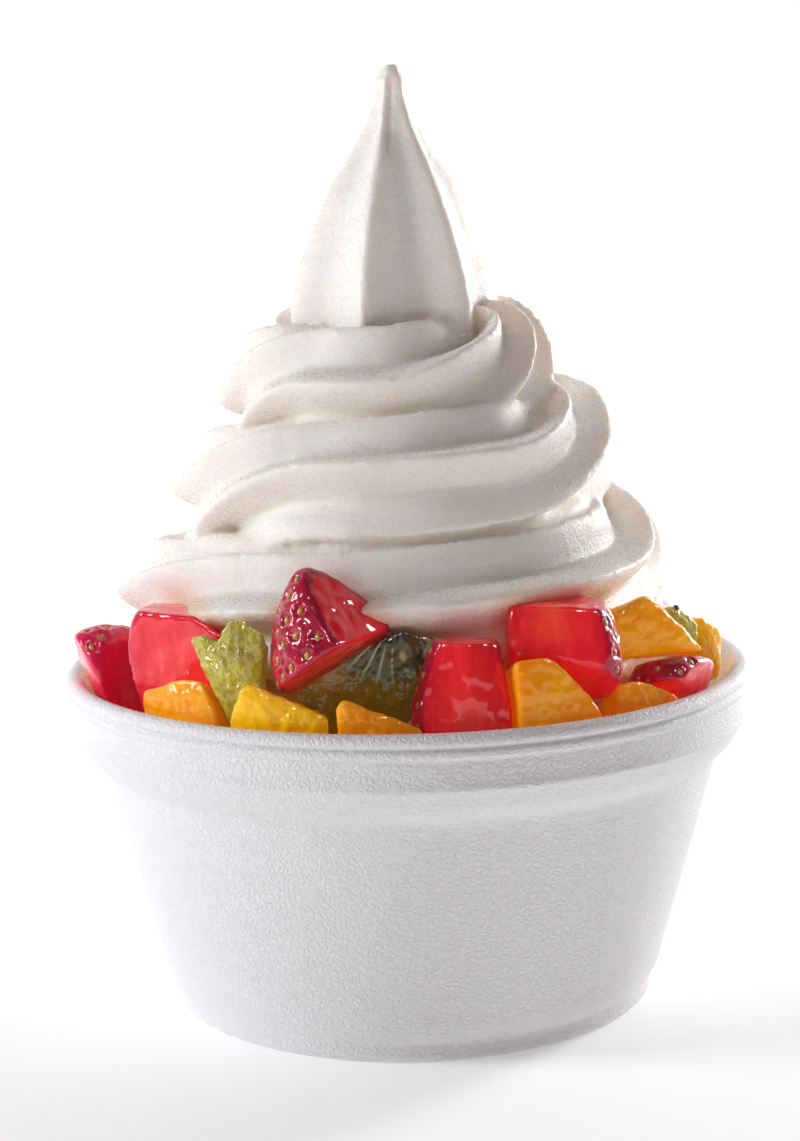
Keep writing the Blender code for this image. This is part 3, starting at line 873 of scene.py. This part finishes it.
class DESSERT_OT_mango(bpy.types.Operator):
    """Cut the mango pieces"""

    bl_idname = "dessert.mango"
    bl_label = "Mango Pieces"

    def execute(self, context):
        made_of = mango_material(context.scene.dessert_fruit)
        for name in fruit_nodes("mango"):
            form = FruitForm(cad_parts[name].data, edge=0.42)
            data = wrapped_fruit(name + "_flesh", form, 5 if "back" in name else 6)
            points = points_of(data) / MM
            seed = 10 * tone_of(name)
            ragged = form.near_edge(points, 0.8)
            swell = 0.34 * lumps(points, 5.5, seed) + 0.06 * lumps(points, 1.6, seed + 1)
            raise_points(data, swell + 0.22 * ragged * lumps(points, 1.4, seed + 2) - 0.12)
            store(data, "tone", np.full(len(points), MANGO_TONES_AND_SHADE.get(name, tone_of(name))))
            dress_piece(name + "_flesh", data, made_of, (name,))
        return {"FINISHED"}


def kiwi_material(settings):
    """Kiwi, knife cut: glassy green flesh with pale rays from the core, wet with juice."""
    made, tree, shader = new_material("kiwi_flesh_cut")
    place = place_of(tree)
    cloud = grain(tree, place, 3.0, 2.0)
    depth = add_node(
        tree, "ShaderNodeMath", {0: cloud, 1: 0.3, 2: stored(tree, "deep")}, operation="MULTIPLY_ADD"
    ).outputs[0]
    base = ramp(tree, depth, [
        (0.18, settings.kiwi), (0.5, linear("7A6A1C")), (0.75, linear("4A4A18")), (1.05, settings.kiwi_deep),
    ])
    brown = ramp(tree, grain(tree, place, 5.0), [(0.5, (0, 0, 0)), (0.7, (0.45,) * 3)])
    ripe = blend_colours(tree, brown, base, linear("8A5A26"))
    rays = ramp(tree, stored(tree, "ray"), [(0.3, (0, 0, 0)), (0.95, (0.8,) * 3)])
    colour = blend_colours(tree, rays, ripe, settings.kiwi_ray)
    cells = grain(tree, place, 0.9, 2.0)
    fine = grain(tree, place_of(tree, (1, 1, 0.45)), 0.4, 2.0)
    wet = bump(tree, cells, 0.7, 1.0)
    film = grain(tree, place_of(tree, (1, 1, 0.6)), 1.5, 0.5)
    set_shader(tree, shader, {
        "Base Color": colour, "Roughness": 0.3, "IOR": 1.38, "Specular IOR Level": 0.2,
        "Subsurface Weight": 0.5, "Subsurface Radius": (1.0, 0.9, 0.25), "Subsurface Scale": 0.004,
        "Coat Weight": 1.0, "Coat Roughness": 0.06, "Coat IOR": 1.5,
        # Painted glow: the flesh shines a little light of its own colour.
        "Emission Color": colour, "Emission Strength": settings.painted_glow,
        "Normal": bump(tree, fine, 0.08, 0.7, wet),
        "Coat Normal": bump(tree, film, 0.9, 1.0),
    })
    return made


KIWI_CORES = {  # how dark the core is, and how far from it the seeds lie, in millimetres
    "kiwi_01": (0.2, -9.0),
    "kiwi_02": (1.0, 3.0),
    "kiwi_03": (0.1, 2.2),
    "kiwi_back_06": (0.9, 3.5),
}


def kiwi_core(form):
    """Point above and behind the piece where its rays meet, in millimetres."""
    low, high = form.corners.min(axis=0), form.corners.max(axis=0)
    return np.array([(low[0] + high[0]) / 2 + 0.12 * (high[0] - low[0]), form.middle[1], high[2] + 1.5])


class DESSERT_OT_kiwi(bpy.types.Operator):
    """Cut the kiwi pieces"""

    bl_idname = "dessert.kiwi"
    bl_label = "Kiwi Pieces"

    def execute(self, context):
        settings = context.scene.dessert_fruit
        made_of = kiwi_material(settings)
        seeds = bmesh.new()
        for name in fruit_nodes("kiwi"):
            form = FruitForm(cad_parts[name].data, edge=0.36)
            data = wrapped_fruit(name + "_flesh", form, 6)
            points = points_of(data) / MM
            core = kiwi_core(form)
            around = np.arctan2(points[:, 0] - core[0], core[2] - points[:, 2])
            away = np.hypot(points[:, 0] - core[0], points[:, 2] - core[2])
            sharp = (0.5 + 0.5 * np.cos(around * 26 + 1.5 * lumps(points, 4.0, 3))) ** 4
            dark, ring = KIWI_CORES.get(name, (0.3, 3.5))
            fade = smooth_step((15 - away) / 9)
            ray = sharp * fade * (1.0 if dark > 0.5 else 0.5)
            ragged = form.near_edge(points, 0.8)
            swell = 0.30 * lumps(points, 4.0, 5) + (0.16 + 0.2 * ragged) * lumps(points, 1.2, 6)
            raise_points(data, swell + 0.15 * ray - 0.25)
            outward = (normals_of(data)[:, :2] * form.middle[:2]).sum(axis=1) / np.hypot(*form.middle[:2])
            for index in spread_over(points, (abs(away - ring) < 0.5) & (outward > 0.3), 1.7):
                spot = Vector(points_of(data)[index] / MM)
                normal = Vector(normals_of(data)[index])
                add_seed(seeds, spot, normal, Vector(core) - spot, settings.kiwi_seed_length / MM)
            store(data, "ray", ray)
            store(data, "deep", np.clip(dark * (0.35 + 0.75 * smooth_step((13 - away) / 10)), 0, 1))
            dress_piece(name + "_flesh", data, made_of, (name,))
        black = seed_material("kiwi_seed_wet", settings.kiwi_seed, 0.2)
        make_piece("kiwi_seeds", seeds, black)
        return {"FINISHED"}


SKIN_REACH = {"strawberry_03": 0.9}  # how deep the skin's colour shows, in millimetres
# Share of painted key-light sheen on each berry.
BERRY_PAINTED_SHEEN = {"strawberry_01": 1.0, "strawberry_02": 0.3}
UNCUT = {  # flat faces of the solids, by (azimuth, elevation), that still wear their skin
    "strawberry_01": [(10, 62), (-75, 55)],
    "strawberry_03": [(-15, -30)],
    "strawberry_05": [(-10, 40)],
    "strawberry_06": [(-60, -60)],
}


def berry_material(settings):
    """Strawberry, knife cut: lacquered crimson skin, and wet flesh that pales away from the skin."""
    made, tree, shader = new_material("strawberry_cut")
    place = place_of(tree)
    skin = stored(tree, "skin")
    cloud = grain(tree, place, 2.6, 3.0, 0.6)
    inward = add_node(
        tree, "ShaderNodeMath", {0: cloud, 1: 0.5, 2: stored(tree, "depth")}, operation="MULTIPLY_ADD"
    ).outputs[0]
    flesh = ramp(tree, inward, [
        (0.25, settings.berry_rim), (0.65, settings.berry_flesh), (1.3, linear("FA5038")),
    ])
    fibre = grain(tree, place_of(tree, (1, 1, 0.25)), 0.55, 2.0)
    streaks = ramp(tree, fibre, [(0.5, (0, 0, 0)), (0.9, (0.18,) * 3)])
    cut = blend_colours(tree, streaks, flesh, linear("FF6A58"))
    patch = ramp(tree, grain(tree, place, 4.0), [(0.3, settings.berry_skin), (0.7, linear("9A0C34"))])
    either = blend_colours(tree, skin, cut, patch)
    # Painted sheen: pink laid over the berries at the left, where the key light falls.
    pink = ramp(tree, stored(tree, "tone"), [(0.0, (0, 0, 0)), (1.0, (0.6,) * 3)])
    colour = blend_colours(tree, pink, either, settings.berry_painted_sheen)
    flutes = grain(tree, place_of(tree, (1, 1, 0.4)), 1.7, 0.5)
    juice = bump(tree, flutes, 0.35, 1.0)
    glaze = bump(tree, grain(tree, place, 1.6, 1.0), 0.35, 0.8)
    gloss = add_node(tree, "ShaderNodeMix", data_type="VECTOR")
    tree.links.new(skin, gloss.inputs[0])
    tree.links.new(juice, gloss.inputs[4])
    tree.links.new(glaze, gloss.inputs[5])
    set_shader(tree, shader, {
        "Base Color": colour, "Roughness": 0.3, "IOR": 1.38, "Specular IOR Level": 0.15,
        "Subsurface Weight": 0.45, "Subsurface Radius": (1.0, 0.15, 0.12), "Subsurface Scale": 0.003,
        "Coat Weight": 1.0, "Coat Roughness": 0.05, "Coat IOR": 1.5,
        # Painted glow: the flesh shines a little light of its own colour.
        "Emission Color": colour, "Emission Strength": settings.painted_glow,
        "Normal": bump(tree, fibre, 0.08, 0.5, gloss.outputs[1]),
        "Coat Normal": gloss.outputs[1],
    })
    return made


def seed_material(name, colour, rough):
    made, tree, shader = new_material(name)
    shade = ramp(tree, grain(tree, place_of(tree), 1.2), [
        (0.3, tuple(0.55 * c for c in colour)), (0.7, tuple(colour)),
    ])
    set_shader(tree, shader, {
        "Base Color": shade, "Roughness": rough, "Coat Weight": 0.8, "Coat Roughness": 0.08,
    })
    return made


def spread_over(points, weights, spacing):
    """Indices of points at least a spacing apart, taken in a fixed mixed order."""
    order = np.random.default_rng(7).permutation(np.flatnonzero(weights))
    taken = []
    for index in order:
        if all(np.linalg.norm(points[index] - points[other]) > spacing for other in taken):
            taken.append(index)
    return taken


def add_seed(mesh, spot, normal, up, length):
    """One pointed seed lying in the surface."""
    made = bmesh.ops.create_icosphere(mesh, subdivisions=3, radius=1)["verts"]
    side = up.cross(normal).normalized()
    along = normal.cross(side).normalized()
    for vert in made:
        x, y, z = vert.co
        taper = 1 - 0.35 * max(y, 0) ** 1.5
        local = (x * taper * 0.36, y * 0.5, z * taper * 0.26)
        vert.co = spot + (side * local[0] + along * local[1] + normal * local[2]) * length


class DESSERT_OT_strawberry(bpy.types.Operator):
    """Cut the strawberries and set their seeds"""

    bl_idname = "dessert.strawberry"
    bl_label = "Strawberry Pieces"

    def execute(self, context):
        settings = context.scene.dessert_fruit
        made_of = berry_material(settings)
        spacing = settings.seed_spacing / MM
        seeds = bmesh.new()
        for name in fruit_nodes("strawberry"):
            form = FruitForm(
                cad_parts[name].data, edge=0.3, skin_edge=1.1, skin_area=15,
                skin_ways=UNCUT.get(name, ()),
            )
            data = wrapped_fruit(name + "_flesh", form, 6)
            points = points_of(data) / MM
            inside = form.skin_depth(points)
            skin = smooth_step((inside + SKIN_REACH.get(name, 0.55)) / 0.35)
            margin = form.cut_depth(points) if form.cuts else np.full(len(points), -9.0)
            taken = spread_over(points, (skin > 0.99) & (margin < -0.9), spacing)
            wavy = lumps(points * [0.6, 0.6, 1], 1.3, 9)
            height = 0.22 * lumps(points, 3.4, 8) * (1 - skin) + 0.06 * wavy - 0.10
            normals = normals_of(data)
            for index in taken:
                away = np.linalg.norm(points - points[index], axis=1)
                height += 0.10 * np.exp(-(((away - 1.35) / 0.5) ** 2))
                height -= 0.42 * np.exp(-((away / 0.78) ** 2))
            raise_points(data, height)
            moved = points_of(data) / MM
            for index in taken:
                lean = Vector((0.3 * math.sin(index), 0, 1))
                spot = Vector(moved[index]) + Vector(normals[index]) * 0.12
                add_seed(seeds, spot, Vector(normals[index]), lean, settings.seed_length / MM)
            store(data, "skin", skin)
            # Painted key-light sheen share for each berry.
            store(data, "tone", np.full(len(points), BERRY_PAINTED_SHEEN.get(name, 0)))
            store(data, "depth", np.clip(-inside / 8, 0, 1))
            dress_piece(name + "_flesh", data, made_of, (name,))
        golden = seed_material("strawberry_seed_dry", settings.seed, 0.35)
        make_piece("strawberry_seeds", seeds, golden)
        return {"FINISHED"}


# Stage

SOFTBOXES = {  # place and size, in metres
    "key": ((-0.66, -0.14, 0.35), (0.22, 0.30)),
    "fill": ((-0.14, -0.40, 0.74), (0.5, 0.5)),
    "rim": ((0.60, 0.47, 0.27), (0.2, 0.34)),
}
GLINT_SIZE = (0.10, 0.12)
GLINTS = {
    "left_glint": (-0.42, -0.52, 0.40),
    "front_glint": (0.08, -0.46, 0.58),
    "right_glint": (0.54, -0.10, 0.42),
}
CAMERA_PLACE = (0, -0.399126, 0.139195)
CAMERA_TILT = math.radians(9.9385)  # below the horizon
CAMERA_ROLL = math.radians(-1.2463)
CAMERA_LENS = 75.16
CAMERA_SHIFT = (-0.00474, 0.0151)


def aim(thing, target):
    way = Vector(target) - thing.location
    thing.rotation_euler = way.to_track_quat("-Z", "Y").to_euler()


def add_softbox(name, place, size, power, colour=(1, 1, 1)):
    """Rectangular soft light that looks at the middle of the cup."""
    light = bpy.data.lights.new(name, "AREA")
    light.shape = "RECTANGLE"
    light.size, light.size_y = size
    light.energy = power
    light.color = colour
    box = bpy.data.objects.new(name, light)
    bpy.context.scene.collection.objects.link(box)
    box.location = place
    aim(box, (0, 0, 0.07))
    return box


def lit_room(settings):
    """Surround that is bright at the backdrop, dim behind the camera and dimmest at the sides."""
    world = bpy.data.worlds.new("lit_room")
    world.use_nodes = True
    tree = world.node_tree
    way = add_node(tree, "ShaderNodeTexCoord").outputs["Generated"]
    depth = add_node(tree, "ShaderNodeSeparateXYZ", {"Vector": way}).outputs["Y"]
    share = add_node(tree, "ShaderNodeMapRange", {"Value": depth, "From Min": -1.0}).outputs["Result"]
    warm = tuple(settings.air)
    stops = (
        (0.2, settings.sky_front, warm), (0.5, settings.sky_side, warm),
        (0.82, settings.sky_back, (1, 1, 1)),
    )
    glow = ramp(tree, share, [(at, tuple(bright * c for c in tint)) for at, bright, tint in stops])
    tree.links.new(glow, tree.nodes["Background"].inputs["Color"])
    return world


class DESSERT_OT_stage(bpy.types.Operator):
    """Set the floor, the lights and the camera"""

    bl_idname = "dessert.stage"
    bl_label = "Stage"

    def execute(self, context):
        settings = context.scene.dessert_stage
        scene = context.scene
        scene.view_settings.view_transform = "Standard"
        # The table glows and lights the cup from below. Its glow is weaker near the cup, which greys the
        # floor round the foot as painted shade, and rises further off to meet the backdrop.
        made, tree, shader = new_material("white_table")
        away = add_node(
            tree, "ShaderNodeVectorMath", {0: place_of(tree)}, operation="LENGTH"
        ).outputs["Value"]
        glow = add_node(tree, "ShaderNodeMapRange", {
            "Value": away, "From Min": 0.15, "From Max": 0.7,
            "To Min": settings.glow_near, "To Max": settings.glow_far,
        })
        set_shader(tree, shader, {
            "Base Color": (*settings.floor, 1), "Roughness": 0.9, "Specular IOR Level": 0.1,
            "Emission Color": (1, 1, 1, 1), "Emission Strength": glow.outputs["Result"],
        })
        mesh = bmesh.new()
        bmesh.ops.create_circle(mesh, cap_ends=True, segments=64, radius=4)
        data = bpy.data.meshes.new("floor")
        mesh.to_mesh(data)
        mesh.free()
        data.materials.append(made)
        floor = bpy.data.objects.new("floor", data)
        scene.collection.objects.link(floor)
        floor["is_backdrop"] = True
        add_softbox("key", *SOFTBOXES["key"], settings.key_power, settings.key)
        add_softbox("fill", *SOFTBOXES["fill"], settings.fill_power, settings.fill)
        add_softbox("rim", *SOFTBOXES["rim"], settings.rim_power)
        for name, place in GLINTS.items():
            glint = add_softbox(name, place, GLINT_SIZE, settings.glint_power)
            glint.visible_diffuse = False
        scene.world = lit_room(settings)
        camera = bpy.data.cameras.new("camera")
        camera.lens = CAMERA_LENS
        camera.sensor_width = 36
        camera.shift_x, camera.shift_y = CAMERA_SHIFT
        camera.clip_start = 0.01
        eye = bpy.data.objects.new("camera", camera)
        scene.collection.objects.link(eye)
        tilt = Matrix.Rotation(math.pi / 2 - CAMERA_TILT, 4, "X")
        eye.matrix_world = Matrix.Translation(CAMERA_PLACE) @ tilt @ Matrix.Rotation(CAMERA_ROLL, 4, "Z")
        scene.camera = eye
        return {"FINISHED"}


class DESSERT_PT_panel(bpy.types.Panel):
    """Sidebar panel that lists the pieces"""

    bl_idname = "DESSERT_PT_panel"
    bl_label = "Frozen Yogurt Cup"
    bl_space_type = "VIEW_3D"
    bl_region_type = "UI"
    bl_category = "Dessert"

    def draw(self, context):
        for operator in OPERATORS:
            self.layout.operator(operator.bl_idname)


SETTINGS = {
    "dessert_cup": CupSettings,
    "dessert_yogurt": YogurtSettings,
    "dessert_fruit": FruitSettings,
    "dessert_stage": StageSettings,
}
OPERATORS = (
    DESSERT_OT_stage, DESSERT_OT_cup, DESSERT_OT_mango, DESSERT_OT_kiwi, DESSERT_OT_strawberry,
    DESSERT_OT_yogurt,
)


def register():
    for kind in (*SETTINGS.values(), *OPERATORS, DESSERT_PT_panel):
        bpy.utils.register_class(kind)
    for name, kind in SETTINGS.items():
        setattr(bpy.types.Scene, name, PointerProperty(type=kind))


def unregister():
    for name in SETTINGS:
        delattr(bpy.types.Scene, name)
    for kind in reversed((*SETTINGS.values(), *OPERATORS, DESSERT_PT_panel)):
        bpy.utils.unregister_class(kind)


def main():
    register()
    for operator in OPERATORS:
        group, action = operator.bl_idname.split(".")
        getattr(getattr(bpy.ops, group), action)()


if __name__ == "__main__":
    main()
